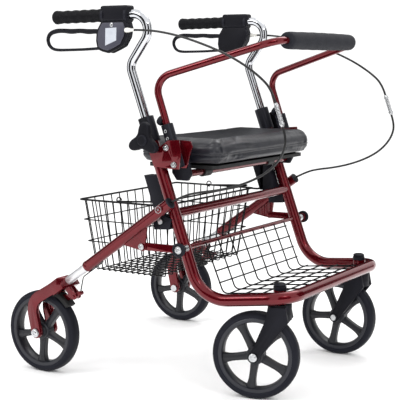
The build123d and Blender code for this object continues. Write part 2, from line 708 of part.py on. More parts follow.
def brake_housing():
    """Clamp round the tube with the lever's case below it."""
    clamp = Pos((housing_x[0] + housing_x[1]) / 2, frame_half_width, handle_end_z + 4) * Box(
        housing_x[1] - housing_x[0], 2 * housing_half_width + 6, 38)
    case = side_plate([(166, 812), (222, 812), (230, 794), (226, 776), (214, 757), (178, 741), (148, 749),
                       (146, 790)], frame_half_width - housing_half_width, frame_half_width + housing_half_width)
    body = clamp + case
    top_run = Vector(*handle_path()[1]) - Vector(*handle_path()[0])
    body -= rod(handle_path()[0], tuple(Vector(*handle_path()[0]) + top_run * 0.93), handle_radius + fixed_gap)
    body -= Pos(175, frame_half_width, 770) * Box(70, 2 * (lever_plate_half + moving_gap), 64)
    ferrule_y = frame_half_width + housing_half_width
    body += rod((214, ferrule_y, cable_exit[2]), (cable_exit[0], ferrule_y, cable_exit[2]), 4)
    return body + cross_pin(lever_pivot[0], lever_pivot[1], frame_half_width - 6, frame_half_width + 6,
                            pin_radius - 1)


def brake_lever():
    """Closed finger loop on a flat root that turns in the case."""
    y = frame_half_width
    loop = bent_tube([(160, y, 792), (8, y, 793), (-4, y, 772), (14, y, 747), (160, y, 752)],
                     [14, 14, 14], lever_rod_radius - 0.2)
    root = side_plate([(152, 797), (188, 795), (199, 783), (188, 771), (172, 748), (152, 747)],
                      y - lever_plate_half, y + lever_plate_half)
    root += cross_pin(lever_pivot[0], lever_pivot[1], y - lever_plate_half, y + lever_plate_half, 12)
    return loop + root - cross_pin(lever_pivot[0], lever_pivot[1], y - 20, y + 20, pin_radius - 1 + running_gap)


# ---------------------------------------------------------------- brake cables, left side
coupler_start = Vector(602.5, 290, 641)
coupler_end = Vector(619.0, 290.0, 594.0)
coupler_dir = (coupler_end - coupler_start).normalized()
upper_cable_points = [
    cable_exit, (272, 278, 791), (316, 279.5, 787), (368, 281.5, 777), (420, 283, 762), (472, 285, 744),
    (520, 287, 722), (562, 289, 696), tuple(coupler_start - coupler_dir * 30),
    tuple(coupler_start - coupler_dir * fixed_gap / 2),
]
lower_cable_points = [
    tuple(coupler_end + coupler_dir * fixed_gap / 2), tuple(coupler_end + coupler_dir * 24),
    (623, 290, 545), (606, 290, 519), (580, 290, 497), (545, 290, 479), (505, 290, 465), (462, 291, 455), (422, 293, 449), (390, 297, 441), (leg_top[0] + 4, 297, leg_top[1] + 3),
]


def cable_radii(points):
    """Each bend takes 0.45 of its shorter run."""
    radii = []
    for before, here, after in zip(points, points[1:], points[2:]):
        run_in = Vector(*here) - Vector(*before)
        run_out = Vector(*after) - Vector(*here)
        turn = math.radians(run_in.get_angle(run_out))
        radii.append(0.45 * min(run_in.length, run_out.length) / math.tan(turn / 2))
    return radii


def cable(points, label):
    radii = cable_radii(points)
    tube = bent_tube(points, radii, cable_radius)
    length = sum((Vector(*b) - Vector(*a)).length for a, b in zip(points, points[1:]))
    print(f"{label}: run {length:.0f} mm, tightest bend {min(radii):.0f} mm, "
          f"volume over section {tube.volume / (math.pi * cable_radius ** 2):.0f} mm")
    return tube


upper_cable = cable(upper_cable_points, "upper cable")
lower_cable = cable(lower_cable_points, "lower cable")
for side, sign in sides.items():
    save(f"handle_tube_{side}", on_side(handle_tube(), sign))
    save(f"grip_{side}", on_side(grip(), sign))
    save(f"brake_housing_{side}", on_side(brake_housing(), sign))
    save(f"brake_lever_{side}", on_side(brake_lever(), sign))
    save(f"upper_cable_{side}", on_side(upper_cable, sign))
    save(f"lower_cable_{side}", on_side(lower_cable, sign))
save("cable_couplers", *both(rod(coupler_start, coupler_end, coupler_radius)))

# ---------------------------------------------------------------- backrest
backrest_left = [(backrest_foot[0], frame_half_width, backrest_foot[1]),
                 (backrest_bend[0], frame_half_width, backrest_bend[1]), backrest_corner]
backrest_path = backrest_left + [(x, -y, z) for x, y, z in reversed(backrest_left)]
backrest_bends = [backrest_bend_radius, backrest_corner_radius, backrest_corner_radius, backrest_bend_radius]
save("backrest_bar", bent_tube(backrest_path, backrest_bends, backrest_radius,
                               backrest_radius - backrest_wall))
pad_half_length = backrest_corner[1] - backrest_corner_radius * 0.9
pad = cross_pin(backrest_corner[0], backrest_corner[2], -pad_half_length, pad_half_length, pad_radius,
                backrest_radius + fixed_gap)
save("backrest_pad", pad)

# ---------------------------------------------------------------- seat
seat_middle_x = (seat_rear_x + seat_front_x) / 2
seat_depth = seat_front_x - seat_rear_x
seat_pad = Pos(seat_middle_x, 0, seat_bottom_z) * extrude(
    RectangleRounded(seat_depth, 2 * seat_half_width, seat_corner_radius), seat_top_z - seat_bottom_z)
save("seat_pad", fillet(seat_pad.edges().group_by(Axis.Z)[-1], 14))
board = Pos(seat_middle_x, 0, seat_bottom_z - seat_board_thickness) * extrude(
    RectangleRounded(seat_depth - 2 * seat_board_inset, 2 * (seat_half_width - seat_board_inset),
                     seat_corner_radius - seat_board_inset / 2), seat_board_thickness - fixed_gap)
saddle_places = (-150, 150)
for y in saddle_places:
    board += cross_pin(seat_rail_x, seat_rail_z, y - 15, y + 15, seat_rail_radius + seat_saddle_wall)
board -= cross_pin(seat_rail_x, seat_rail_z, -rail_half_length - 5, rail_half_length + 5,
                   seat_rail_radius + running_gap)
save("seat_board", board)

# ---------------------------------------------------------------- basket
basket_middle_x = (basket_rear_x + basket_front_x) / 2
basket_depth = basket_front_x - basket_rear_x


def basket_shell(shrink, floor):
    """Tapered block, larger at the rim."""
    top = Pos(basket_middle_x, 0, basket_top_z + 2) * Rectangle(basket_depth - 2 * shrink,
                                                            2 * (basket_half_width - shrink))
    low = Pos(basket_middle_x, 0, floor) * Rectangle(
        basket_depth - 2 * (basket_floor_inset + shrink), 2 * (basket_half_width - basket_floor_inset - shrink))
    return loft([low, top])


basket = basket_shell(0, basket_floor_z) - basket_shell(basket_wall, basket_floor_z + basket_wall)
for sign in (-1, 1):
    bar_y = sign * (basket_half_width - basket_wall - 3)
    bar_length = hook_x + hook_radius - basket_front_x + 10
    basket += Pos(hook_x + hook_radius - bar_length / 2, bar_y, basket_top_z - 1) * Box(bar_length, 6, 5)
    basket += Pos(hook_x, sign * (guide_near + 10 + basket_half_width - 12) / 2, basket_top_z - 1) * Box(
        2 * hook_radius, guide_near + 10 - basket_half_width + 12, 5)
save("basket", basket)
bail_x = (150.0, 270.0)
bail_half = basket_half_width - basket_wall - 6
bail_z = basket_top_z + 1
bail_radius = 2.0
bail_bar_z = bail_z + 7
bail = bent_tube([(bail_x[0], -bail_half, bail_z), (bail_x[1], -bail_half, bail_bar_z),
                  (bail_x[1], bail_half, bail_bar_z), (bail_x[0], bail_half, bail_z)],
                 [14, 14], bail_radius)
for sign in (-1, 1):
    bail += cross_pin(bail_x[0], bail_z, sign * (bail_half - 3), sign * (bail_half + 4.8), bail_radius + 1)
save("basket_bail", bail)
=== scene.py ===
import json
import math
import bpy
from mathutils import Matrix, Vector


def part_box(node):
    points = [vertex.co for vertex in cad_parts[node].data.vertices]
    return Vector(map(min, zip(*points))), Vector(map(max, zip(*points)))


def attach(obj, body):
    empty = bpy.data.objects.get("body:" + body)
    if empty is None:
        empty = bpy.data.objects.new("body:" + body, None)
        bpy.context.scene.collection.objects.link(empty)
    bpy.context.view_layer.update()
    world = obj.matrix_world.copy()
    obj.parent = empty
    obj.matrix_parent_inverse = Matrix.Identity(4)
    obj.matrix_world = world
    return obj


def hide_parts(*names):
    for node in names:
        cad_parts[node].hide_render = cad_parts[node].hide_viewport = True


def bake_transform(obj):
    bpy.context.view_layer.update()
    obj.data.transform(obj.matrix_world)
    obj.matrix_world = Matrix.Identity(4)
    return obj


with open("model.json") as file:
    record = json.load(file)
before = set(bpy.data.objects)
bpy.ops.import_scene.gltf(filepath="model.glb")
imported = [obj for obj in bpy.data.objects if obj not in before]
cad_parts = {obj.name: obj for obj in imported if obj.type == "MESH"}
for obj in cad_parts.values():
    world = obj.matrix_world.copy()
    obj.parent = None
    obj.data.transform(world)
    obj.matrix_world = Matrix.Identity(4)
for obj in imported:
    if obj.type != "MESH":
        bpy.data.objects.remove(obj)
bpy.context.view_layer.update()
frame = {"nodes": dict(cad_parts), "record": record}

sides = (("right", -1), ("left", 1))
nodeBody = {node: body for body, nodes in frame["record"]["behaviour"]["bodies"].items() for node in nodes}
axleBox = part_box("rear_axle_right")
rearAxleX = (axleBox[0][0] + axleBox[1][0]) / 2


def at(x, y, z):   # millimetres, x forward of the rear axle, to metres in the frame
    return Vector((rearAxleX + x / 1000, y / 1000, z / 1000))


def middle(node):
    low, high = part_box(node)
    return (Vector(low) + Vector(high)) / 2


# camera: three quarter view from low in front, long lens
cameraPlan = {"azimuth": 31.61, "elevation": 7.33, "roll": 0.07, "lens": 97.7,
              "place": (1.3552, -2.2299, 0.7259)}
azimuth = math.radians(cameraPlan["azimuth"])
elevation = math.radians(cameraPlan["elevation"])
cameraRight = Vector((math.cos(azimuth), math.sin(azimuth), 0))
cameraBack = Vector((math.sin(azimuth) * math.cos(elevation), -math.cos(azimuth) * math.cos(elevation),
                     math.sin(elevation)))
cameraUp = cameraBack.cross(cameraRight)
cameraTurn = Matrix((cameraRight, cameraUp, cameraBack)).transposed().to_4x4()
bpy.ops.object.camera_add()
camera = bpy.context.object
camera.data.sensor_width = 36
camera.data.lens = cameraPlan["lens"]
camera.matrix_world = (Matrix.Translation(cameraPlan["place"]) @ cameraTurn
                       @ Matrix.Rotation(math.radians(cameraPlan["roll"]), 4, "Z"))
bpy.context.scene.camera = camera
print("camera placed")


# small tools shared by every piece
def clearSelection():
    bpy.ops.object.select_all(action="DESELECT")


def editAll():
    bpy.ops.object.mode_set(mode="EDIT")
    bpy.ops.mesh.select_all(action="SELECT")


def finishPiece(piece, name, body, material, angle=40):
    piece.name = name
    piece.data.name = name
    clearSelection()
    piece.select_set(True)
    bpy.context.view_layer.objects.active = piece
    bpy.ops.object.shade_smooth_by_angle(angle=math.radians(angle))
    piece.data.materials.clear()
    piece.data.materials.append(material)
    if body:
        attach(piece, body)
    return piece


def applyModifier(piece, kind, **settings):
    modifier = piece.modifiers.new(kind, kind)
    for key, value in settings.items():
        setattr(modifier, key, value)
    clearSelection()
    piece.select_set(True)
    bpy.context.view_layer.objects.active = piece
    bpy.ops.object.modifier_apply(modifier=modifier.name)


def joinPieces(pieces):
    clearSelection()
    for piece in pieces:
        piece.select_set(True)
    bpy.context.view_layer.objects.active = pieces[0]
    bpy.ops.object.join()
    return bpy.context.object


def turned(profile, place, axis, segments=32, ring=False):
    # a circle drawn out along its axis, step by step, like lathe work; profile is (along, radius) in mm
    clearSelection()
    bpy.ops.mesh.primitive_circle_add(vertices=segments, radius=profile[0][1] / 1000,
                                      fill_type="NOTHING" if ring else "NGON")
    editAll()
    bpy.ops.transform.translate(value=(0, 0, profile[0][0] / 1000))
    for before, here in zip(profile, profile[1:]):
        bpy.ops.mesh.extrude_region_move(TRANSFORM_OT_translate={"value": (0, 0,
                                                                           (here[0] - before[0]) / 1000)})
        grow = here[1] / before[1]
        bpy.ops.transform.resize(value=(grow, grow, 1), center_override=(0, 0, here[0] / 1000))
    bpy.ops.mesh.select_all(action="SELECT")
    bpy.ops.mesh.remove_doubles(threshold=0.000001)
    bpy.ops.mesh.normals_make_consistent(inside=False)
    bpy.ops.object.mode_set(mode="OBJECT")
    piece = bpy.context.object
    turn = Vector((0, 0, 1)).rotation_difference(Vector(axis).normalized()).to_matrix().to_4x4()
    piece.data.transform(Matrix.Translation(place) @ turn)
    return piece


def outlinePlate(outline, near, far, bevel, segments=3):
    # a plate with an outline in the side view, its edges rounded over
    clearSelection()
    bpy.ops.mesh.primitive_circle_add(vertices=len(outline), fill_type="NGON")
    piece = bpy.context.object
    for vertex, (x, z) in zip(piece.data.vertices, outline):
        vertex.co = at(x, near, z)
    editAll()
    bpy.ops.mesh.extrude_region_move(TRANSFORM_OT_translate={"value": (0, (far - near) / 1000, 0)})
    bpy.ops.mesh.select_all(action="SELECT")
    bpy.ops.mesh.normals_make_consistent(inside=False)
    bpy.ops.object.mode_set(mode="OBJECT")
    applyModifier(piece, "BEVEL", width=bevel / 1000, segments=segments, limit_method="ANGLE")
    return piece


def roundedBlock(low, high, bevel, segments=3):
    # low and high corners in metres
    clearSelection()
    centre = (Vector(low) + Vector(high)) / 2
    size = Vector(high) - Vector(low)
    bpy.ops.mesh.primitive_cube_add(size=1)
    piece = bpy.context.object
    editAll()
    bpy.ops.transform.resize(value=tuple(size))
    bpy.ops.transform.translate(value=tuple(centre))
    bpy.ops.object.mode_set(mode="OBJECT")
    applyModifier(piece, "BEVEL", width=bevel / 1000, segments=segments)
    return piece


def bentWires(runs, radius, bend, sides=2, closed=False, radii=None, order=3):
    # runs of points in metres; each corner is eased over "bend" on both sides
    clearSelection()
    bpy.ops.curve.primitive_nurbs_path_add()
    piece = bpy.context.object
    piece.data.splines.clear()
    for run in runs:
        count = len(run)
        eased = []
        for index, here in enumerate(run):
            here = Vector(here)
            ends = not closed and index in (0, count - 1)
            if bend > 0 and not ends:
                eased.append(here + (Vector(run[index - 1]) - here).normalized() * bend)
                eased.append(here)
                eased.append(here + (Vector(run[(index + 1) % count]) - here).normalized() * bend)
            else:
                eased.append(here)
        spline = piece.data.splines.new("NURBS")
        spline.points.add(len(eased) - 1)
        for index, point in enumerate(eased):
            spline.points[index].co = (*point, 1)
            if radii:
                spline.points[index].radius = radii[index]
        spline.order_u = order
        spline.use_endpoint_u = not closed
        spline.use_cyclic_u = closed
    piece.data.resolution_u = 4
    piece.data.bevel_depth = radius
    piece.data.bevel_resolution = sides
    piece.data.use_fill_caps = True
    bpy.ops.object.convert(target="MESH")
    return bpy.context.object


def softened(node, bevel, segments=2, angle=35):
    # a CAD part with its moulded or pressed edges rounded over
    source = frame["nodes"][node]
    piece = bpy.data.objects.new(node + "_rounded", source.data.copy())
    bpy.context.scene.collection.objects.link(piece)
    clearSelection()
    piece.select_set(True)
    bpy.context.view_layer.objects.active = piece
    editAll()
    bpy.ops.mesh.remove_doubles(threshold=0.00001)
    bpy.ops.mesh.dissolve_limited(angle_limit=math.radians(1))
    bpy.ops.object.mode_set(mode="OBJECT")
    applyModifier(piece, "BEVEL", width=bevel / 1000, segments=segments, limit_method="ANGLE",
                  angle_limit=math.radians(angle))
    return piece


# finishes
def hexColour(code):
    channels = [int(code[start:start + 2], 16) / 255 for start in (1, 3, 5)]
    linear = [c / 12.92 if c <= 0.04045 else ((c + 0.055) / 1.055) ** 2.4 for c in channels]
    return (*linear, 1)


def addNode(tree, kind, settings=None, values=None, links=None):
    node = tree.nodes.new(kind)
    for key, value in (settings or {}).items():
        setattr(node, key, value)
    for key, value in (values or {}).items():
        node.inputs[key].default_value = value
    for key, socket in (links or {}).items():
        tree.links.new(socket, node.inputs[key])
    return node


def finishOf(name, plan):
    # colours drift over a few centimetres, gloss over a few millimetres, and the surface has its own grain
    material = bpy.data.materials.new(name)
    material.use_nodes = True
    tree = material.node_tree
    shader = tree.nodes["Principled BSDF"]
    for key, value in plan.get("shader", {}).items():
        shader.inputs[key].default_value = value
    place = addNode(tree, "ShaderNodeTexCoord").outputs["Object"]
    drift = addNode(tree, "ShaderNodeTexNoise", values={"Scale": 1000 / plan["driftMm"], "Detail": 3.0},
                    links={"Vector": place})
    tint = addNode(tree, "ShaderNodeMix", {"data_type": "RGBA"}, links={"Factor": drift.outputs["Fac"]})
    tint.inputs["A"].default_value = hexColour(plan["dark"])
    tint.inputs["B"].default_value = hexColour(plan["light"])
    colour = tint.outputs["Result"]
    if plan.get("edge"):   # raised edges painted lighter: partly wear from handling, partly painted highlight
        raised = addNode(tree, "ShaderNodeNewGeometry").outputs["Pointiness"]
        edgeWearAndHighlightMask = addNode(tree, "ShaderNodeMapRange", values={"From Min": 0.53, "From Max": 0.62,
                                                             "To Max": 0.6},
                         links={"Value": raised})
        # the lighter edge colour mixed in here is partly wear and partly painted highlight
        wornAndHighlitColour = addNode(tree, "ShaderNodeMix", {"data_type": "RGBA"},
                       links={"Factor": edgeWearAndHighlightMask.outputs["Result"], "A": colour})
        wornAndHighlitColour.inputs["B"].default_value = hexColour(plan["edge"])
        colour = wornAndHighlitColour.outputs["Result"]
    tree.links.new(colour, shader.inputs["Base Color"])
    haze = addNode(tree, "ShaderNodeTexNoise", values={"Scale": 1000 / plan["hazeMm"], "Detail": 4.0},
                   links={"Vector": place})
    gloss = addNode(tree, "ShaderNodeMapRange", values={"From Min": 0.3, "From Max": 0.7,
                                                        "To Min": plan["rough"][0],
                                                        "To Max": plan["rough"][1]},
                    links={"Value": haze.outputs["Fac"]})
    tree.links.new(gloss.outputs["Result"], shader.inputs["Roughness"])
    if plan.get("cellMm"):
        grain = addNode(tree, "ShaderNodeTexVoronoi", {"feature": "DISTANCE_TO_EDGE"},
                        {"Scale": 1000 / plan["cellMm"]}, {"Vector": place}).outputs["Distance"]
    else:
        grain = addNode(tree, "ShaderNodeTexNoise", values={"Scale": 1000 / plan["grainMm"], "Detail": 2.0},
                        links={"Vector": place}).outputs["Fac"]
    bump = addNode(tree, "ShaderNodeBump", values={"Strength": plan["bump"],
                                                   "Distance": plan["grainDeep"] / 1000},
                   links={"Height": grain})
    tree.links.new(bump.outputs["Normal"], shader.inputs["Normal"])
    return material


finishes = {
    # polyester powder coat with metal flake under a clear layer: deep red, sharp highlights,
    # faint orange peel
    "powderCoatRed": {"dark": "#56030F", "light": "#6F0716", "driftMm": 60, "hazeMm": 9,
                      "rough": (0.16, 0.24), "grainMm": 2.5,
                      "bump": 0.12, "grainDeep": 0.15,
                      "shader": {"Metallic": 0.65, "Specular IOR Level": 0.3, "Coat Weight": 0.55,
                                 "Coat Roughness": 0.03}},
    # chromium on steel tube: near mirror, a little handling haze
    "chromePlate": {"dark": "#C4C6CB", "light": "#DCDEE2", "driftMm": 80, "hazeMm": 14,
                    "rough": (0.03, 0.08), "grainMm": 5,
                    "bump": 0.01, "grainDeep": 0.1, "shader": {"Metallic": 1.0}},
    # satin anodised aluminium tube: pale, soft reflections, drawn finish
    "anodisedAluminium": {"dark": "#DCDDE0", "light": "#ECECEE", "driftMm": 40, "hazeMm": 4,
                          "rough": (0.3, 0.42), "grainMm": 1,
                          "bump": 0.08, "grainDeep": 0.1, "shader": {"Metallic": 0.75}},
    # zinc-plated steel screws: bright grey, slightly mottled
    "zincSteel": {"dark": "#B9BBBE", "light": "#DEDFE0", "driftMm": 6, "hazeMm": 3, "rough": (0.2, 0.36),
                  "grainMm": 1.5,
                  "bump": 0.08, "grainDeep": 0.1, "shader": {"Metallic": 1.0}},
    # glass-filled nylon, moulded: blue-black with a spark-eroded texture of about 0.5 mm,
    # drawn at 1 mm so that it shows
    "mouldedNylon": {"dark": "#0C0C11", "light": "#15151B", "edge": "#30313B", "driftMm": 30, "hazeMm": 6,
                     "rough": (0.42, 0.55),
                     "grainMm": 1, "bump": 0.25, "grainDeep": 0.12,
                     "shader": {"IOR": 1.5, "Specular IOR Level": 0.13}},
    # injection-moulded ABS cover: grey with a violet cast, satin
    "greyAbs": {"dark": "#333340", "light": "#40404D", "edge": "#5E5E6C", "driftMm": 25, "hazeMm": 8,
                "rough": (0.36, 0.46),
                "grainMm": 1, "bump": 0.15, "grainDeep": 0.1, "shader": {"IOR": 1.5}},
    # thermoplastic elastomer sleeve: matt black, with a painted dull shine on the crests
    "gripElastomer": {"dark": "#08080B", "light": "#111115", "edge": "#25252C", "driftMm": 20, "hazeMm": 5,
                      "rough": (0.5, 0.68),
                      "grainMm": 1.2, "bump": 0.3, "grainDeep": 0.2,
                      "shader": {"IOR": 1.5, "Specular IOR Level": 0.13}},
    # vinyl-dipped steel wire: black, satin, slightly uneven coat
    "dippedWire": {"dark": "#060608", "light": "#0E0E11", "driftMm": 30, "hazeMm": 5, "rough": (0.3, 0.45),
                   "grainMm": 2,
                   "bump": 0.1, "grainDeep": 0.15, "shader": {"IOR": 1.5, "Specular IOR Level": 0.13}},
    # expanded nitrile foam, skinned: dark grey, very matt, pores of about 1 mm
    "skinnedFoam": {"dark": "#1A1B20", "light": "#25262D", "driftMm": 25, "hazeMm": 4, "rough": (0.7, 0.85),
                    "grainMm": 1.2,
                    "bump": 0.35, "grainDeep": 0.3, "shader": {"Specular IOR Level": 0.16,
                                                               "Sheen Weight": 0.04,
                                                               "Sheen Roughness": 0.5}},
    # painted plywood under the seat: flat black
    "paintedBoard": {"dark": "#09090B", "light": "#111113", "driftMm": 50, "hazeMm": 10,
                     "rough": (0.5, 0.62), "grainMm": 3,
                     "bump": 0.15, "grainDeep": 0.15},
    # PVC cable jacket: black, even gloss
    "cableJacket": {"dark": "#060607", "light": "#0C0C0E", "driftMm": 30, "hazeMm": 6,
                    "rough": (0.28, 0.38), "grainMm": 2,
                    "bump": 0.08, "grainDeep": 0.1},
    # nickel-plated brass: warm bright metal
    "nickelBrass": {"dark": "#C3BFB6", "light": "#DAD7D0", "driftMm": 12, "hazeMm": 4,
                    "rough": (0.14, 0.24), "grainMm": 2,
                    "bump": 0.05, "grainDeep": 0.1, "shader": {"Metallic": 1.0}},
    # cast polyurethane tread: charcoal, dull where it rolls; its raised edges painted lighter, partly as wear
    # and partly as painted highlight
    "polyurethaneTread": {"dark": "#101118", "light": "#191A22", "edge": "#33343F", "driftMm": 35,
                          "hazeMm": 7,
                          "rough": (0.46, 0.6), "grainMm": 1.5, "bump": 0.25, "grainDeep": 0.2,
                          "shader": {"IOR": 1.5, "Specular IOR Level": 0.13}},
    # moulded polypropylene wheel centre: charcoal with a painted soft shine on its ribs
    "wheelCentre": {"dark": "#0E0F15", "light": "#171820", "edge": "#3A3C47", "driftMm": 25, "hazeMm": 6,
                    "rough": (0.34, 0.46),
                    "grainMm": 1, "bump": 0.2, "grainDeep": 0.12, "shader": {"IOR": 1.49}},
    # vulcanised brake block: matt black
    "brakeRubber": {"dark": "#08080A", "light": "#101012", "driftMm": 15, "hazeMm": 4, "rough": (0.65, 0.8),
                    "grainMm": 1,
                    "bump": 0.3, "grainDeep": 0.2},
    # coated polyester label, blank: off-white
    "blankLabel": {"dark": "#A9AEB8", "light": "#C3C7CE", "driftMm": 14, "hazeMm": 8, "rough": (0.3, 0.4),
                   "grainMm": 2,
                   "bump": 0.02, "grainDeep": 0.05},
    # white nylon ferrule
    "whiteNylon": {"dark": "#DCDAD2", "light": "#F0EFEA", "driftMm": 8, "hazeMm": 4, "rough": (0.35, 0.45),
                   "grainMm": 1,
                   "bump": 0.1, "grainDeep": 0.05},
    # expanded vinyl on cotton, embossed with leather grain of about 1.5 mm: charcoal, soft shine on top
    "seatVinyl": {"dark": "#111218", "light": "#1C1D26", "driftMm": 45, "hazeMm": 12, "rough": (0.3, 0.44),
                  "cellMm": 2.2,
                  "grainMm": 2, "bump": 0.3, "grainDeep": 0.25,
                  "shader": {"IOR": 1.5, "Specular IOR Level": 0.5, "Coat Weight": 0.1,
                             "Coat Roughness": 0.3}},
}
material = {name: finishOf(name, plan) for name, plan in finishes.items()}
slotFinish = {"frame_paint": "powderCoatRed", "leg_paint": "powderCoatRed", "chrome_tube": "chromePlate",
              "silver_tube": "anodisedAluminium", "fastener_steel": "zincSteel",
              "black_plastic": "mouldedNylon",
              "lever_plastic": "mouldedNylon", "grip_rubber": "gripElastomer", "wire_black": "dippedWire",
              "seat_leather": "seatVinyl", "pad_foam": "skinnedFoam", "board_black": "paintedBoard",
              "cable_jacket": "cableJacket", "coupler_metal": "nickelBrass",
              "wheel_tyre": "polyurethaneTread",
              "brake_rubber": "brakeRubber"}
nodeSlot = {row["node"]: row["material_slot"] for row in frame["record"]["subparts"]}
for node, slotName in nodeSlot.items():
    cadPart = frame["nodes"][node]
    if not cadPart.material_slots:
        cadPart.data.materials.append(None)
    for holder in cadPart.material_slots:
        holder.material = material[slotFinish[slotName]]
print("finishes made:", len(material))

# brake cables: casing from the lever case to the coupler, and from the coupler down to the rear leg,
# left side in mm
cablePlan = {"diameter": 0.005, "upper": [(240, 278, 791), (272, 278, 791), (316, 279.5, 787), (368, 281.5,
                                                                                                777),
                                         (420, 283, 762), (472, 285, 744), (520, 287, 722), (562, 289, 696),
                                         (592.6, 290, 669.3), (602.47, 290, 641.1)],
             "lower": [(619.03, 290, 593.9), (626.95, 290, 571.4), (623, 290, 545), (606, 290, 519),
                       (580, 290, 497),
                       (545, 290, 479), (505, 290, 465), (462, 291, 455), (422, 293, 449), (390, 297, 441),
                       (357, 297, 424.6)],
             "upperLength": 0.41, "lowerLength": 0.35}


def brakeCable(part, side, sign):
    route = [at(x, sign * y, z) for x, y, z in cablePlan[part]]
    clearSelection()
    bpy.ops.curve.primitive_nurbs_path_add()
    piece = bpy.context.object
    piece.data.splines.clear()
    spline = piece.data.splines.new("NURBS")
    spline.points.add(len(route) - 1)
    for point, place in zip(spline.points, route):
        point.co = (*place, 1)
    spline.order_u = 3
    spline.use_endpoint_u = True
    piece.data.resolution_u = 8
    line = bpy.data.meshes.new_from_object(piece)
    bpy.data.meshes.remove(line)
    piece.data.bevel_depth = cablePlan["diameter"] / 2
    piece.data.bevel_resolution = 3
    piece.data.use_fill_caps = True
    bpy.ops.object.convert(target="MESH")
    piece = finishPiece(bpy.context.object, f"{part}Cable_{side}", None, material["cableJacket"],
                        60)
    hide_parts(f"{part}_cable_{side}")
    if part == "upper":
        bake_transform(piece)
    else:
        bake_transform(piece)


for side, sign in sides:
    brakeCable("upper", side, sign)
    brakeCable("lower", side, sign)
print("brake cables made")

# wheels: one tyre and one spoked centre, copied to each axle
wheelPlan = {"radius": 96, "halfWidth": 16, "rimInner": 73, "hub": 20, "spokes": 5}


def wheelTyre():
    outer, half, inner = wheelPlan["radius"], wheelPlan["halfWidth"], wheelPlan["rimInner"] + 9
    profile = [(-half + 2, inner), (-half, inner + 3), (-half, outer - 7), (-half + 2, outer - 3),
               (-half + 6, outer - 0.8),
               (-4, outer), (4, outer), (half - 6, outer - 0.8), (half - 2, outer - 3), (half, outer - 7),
               (half, inner + 3), (half - 2, inner), (-half + 2, inner)]
    return turned(profile, (0, 0, 0), (0, 1, 0), segments=72, ring=True)


def wheelSpokes():
    rim, half, hub = wheelPlan["rimInner"], wheelPlan["halfWidth"], wheelPlan["hub"]
    parts = [turned([(-half + 1.5, rim + 9.5), (-half + 0.5, rim + 8), (-half + 1, rim + 1.5),
                     (-half + 3, rim), (-4, rim - 1.5),
                     (4, rim - 1.5), (half - 3, rim), (half - 1, rim + 1.5), (half - 0.5, rim + 8),
                     (half - 1.5, rim + 9.5),
                     (-half + 1.5, rim + 9.5)], (0, 0, 0), (0, 1, 0), segments=72, ring=True),
             turned([(-half - 1, 5.2), (-half - 1, 11), (-half, 13), (-half + 3, 14.5),
                     (-half + 3.5, hub - 2), (-half + 6, hub),
                     (half - 6, hub), (half - 3.5, hub - 2), (half - 3, 14.5), (half, 13), (half + 1, 11),
                     (half + 1, 5.2),
                     (-half - 1, 5.2)], (0, 0, 0), (0, 1, 0), segments=40, ring=True)]
    for index in range(wheelPlan["spokes"]):
        clearSelection()
        bpy.ops.mesh.primitive_cube_add(size=1)
        spoke = bpy.context.object
        editAll()
        bpy.ops.transform.resize(value=((rim - hub + 6) / 1000, 0.020, 0.0150))
        bpy.ops.mesh.subdivide(number_cuts=3)
        bpy.ops.object.mode_set(mode="OBJECT")
        reach = (rim - hub + 6) / 2000
        for vertex in spoke.data.vertices:
            share = vertex.co.x / reach
            flare = 1 + 0.9 * max(0, share - 0.45) ** 1.3 * 1.8 + 0.35 * max(0, -share - 0.4)
            ridge = 1 - 0.3 * abs(vertex.co.z) / 0.0075
            vertex.co.z *= flare
            vertex.co.y *= ridge * (1 + 0.25 * max(0, share - 0.3))
        applyModifier(spoke, "BEVEL", width=0.0016, segments=2, limit_method="ANGLE",
                      angle_limit=math.radians(40))
        applyModifier(spoke, "SUBSURF", levels=1, render_levels=1)
        spoke.data.transform(Matrix.Rotation(math.radians(index * 72), 4, "Y")
                             @ Matrix.Translation(((rim + hub) / 2000, 0, 0)))
        parts.append(spoke)
    return joinPieces(parts)


tyreModel = wheelTyre()
centreModel = wheelSpokes()
wheelTurn = {"rear": (0, 22), "right": (14.4, 26), "left": (0.5, 30)}   # yaw and roll at rest, degrees
wheelStands = []
for side, sign in sides:
    wheelStands.append((f"rear_wheel_{side}", wheelTurn["rear"]))
    wheelStands.append((f"caster_wheel_{side}", wheelTurn[side]))
for node, (yaw, roll) in wheelStands:
    for model, label, finish in ((tyreModel, "tyre", "polyurethaneTread"),
                                 (centreModel, "centre", "wheelCentre")):
        piece = bpy.data.objects.new(f"{node}_{label}", model.data.copy())
        bpy.context.scene.collection.objects.link(piece)
        piece.data.transform(Matrix.Translation(middle(node)) @ Matrix.Rotation(math.radians(yaw), 4, "Z")
                             @ Matrix.Rotation(math.radians(roll), 4, "Y"))
        finishPiece(piece, f"{node}_{label}", nodeBody[node], material[finish], 35)
        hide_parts(node)
bpy.data.objects.remove(tyreModel)
bpy.data.objects.remove(centreModel)
print("wheels made")

# parts whose CAD shape stays, with their moulded or pressed edges rounded
roundedParts = {"caster_fork": 3.0, "rear_fork": 2.2, "fold_link": 0.8, "upright_collars": 2.0,
                "backrest_sockets": 1.2,
                "seat_rail_clamps": 2.0, "side_plates": 0.8, "basket_guides": 2.5, "leg_stops": 2.0,
                "brake_arm": 1.2,
                "brake_shoe": 1.0, "release_knob": 1.2}
for family, bevel in roundedParts.items():
    for node in (family, family + "_right", family + "_left"):
        if node in frame["nodes"]:
            piece = softened(node, bevel)
            finishPiece(piece, node + "_rounded", nodeBody[node], material[slotFinish[nodeSlot[node]]])
            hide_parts(node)
print("edges rounded")

